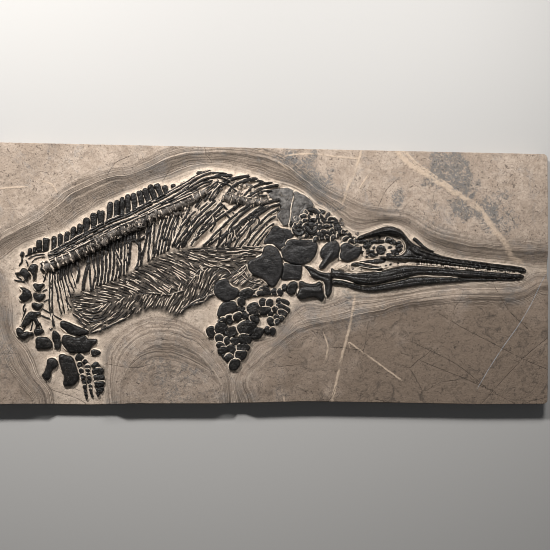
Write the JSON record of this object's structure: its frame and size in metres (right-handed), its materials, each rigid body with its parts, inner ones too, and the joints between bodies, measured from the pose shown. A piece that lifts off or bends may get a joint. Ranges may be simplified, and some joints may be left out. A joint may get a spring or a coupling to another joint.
{
  "type": "fossil ichthyosaur skeleton",
  "caption": "Fossil marine reptile skeleton lying in relief in a shallow hollow of a flat rectangular slab of pale bedded limestone.",
  "frame": {"origin": "middle of the slab's underside, on the surface it lies on", "axes": "+X along the slab towards the tip of the snout, +Y across it towards the animal's back, +Z out of the prepared face"},
  "size_m": [1.52, 0.7, 0.0518],
  "materials": {
    "stone": "matt, pale beige-grey bedded limestone with light veins and hairline cracks",
    "skull_bone": "dark brown-black fossil bone, slightly polished",
    "girdle_bone": "dark grey fossil bone, matt to slightly polished",
    "belly_bone": "brown-grey fossil bone with stone between the strands",
    "dark_bone": "near-black fossil bone, slightly polished"
  },
  "bodies": {
    "root": {"atlas": "dark_bone", "belly_ribs": "belly_bone", "cheek_bar": "skull_bone", "clavicle": "girdle_bone", "coracoid_front": "girdle_bone", "coracoid_hind": "girdle_bone", "coracoid_lower": "girdle_bone", "far_jaw_branch": "skull_bone", "fore_digit_1": "dark_bone", "fore_digit_2": "dark_bone", "fore_digit_3": "dark_bone", "fore_digit_4": "dark_bone", "fore_digit_5": "dark_bone", "fore_digit_6": "dark_bone", "front_backbone": "dark_bone", "hind_cheek_bone": "skull_bone", "hind_digit_1": "dark_bone", "hind_digit_2": "dark_bone", "hind_digit_3": "dark_bone", "hind_paddle_chip": "dark_bone", "humerus": "girdle_bone", "ilium": "dark_bone", "interclavicle": "girdle_bone", "left_femur": "dark_bone", "left_ischium": "dark_bone", "loose_spine": "belly_bone", "lower_jaw": "skull_bone", "nasal_bone": "skull_bone", "neck_arch": "dark_bone", "neck_bar": "dark_bone", "neck_vertebra_1": "dark_bone", "neck_vertebra_2": "dark_bone", "neck_vertebra_3": "dark_bone", "neck_vertebra_4": "dark_bone", "neck_vertebra_5": "dark_bone", "neural_arches": "dark_bone", "pubis": "dark_bone", "quadrate": "girdle_bone", "radius": "girdle_bone", "rear_backbone": "dark_bone", "right_femur": "dark_bone", "right_ischium": "dark_bone", "scapula_front": "girdle_bone", "scapula_hind": "girdle_bone", "stone_slab": "stone", "tail_arches": "dark_bone", "tail_vertebra_1": "dark_bone", "tail_vertebra_10": "dark_bone", "tail_vertebra_2": "dark_bone", "tail_vertebra_3": "dark_bone", "tail_vertebra_4": "dark_bone", "tail_vertebra_5": "dark_bone", "tail_vertebra_6": "dark_bone", "tail_vertebra_7": "dark_bone", "tail_vertebra_8": "dark_bone", "tail_vertebra_9": "dark_bone", "ulnar_disc": "belly_bone", "upper_cheek_bar": "skull_bone", "upper_skull": "skull_bone", "wrist_disc": "belly_bone"}
  },
  "joints": []
}
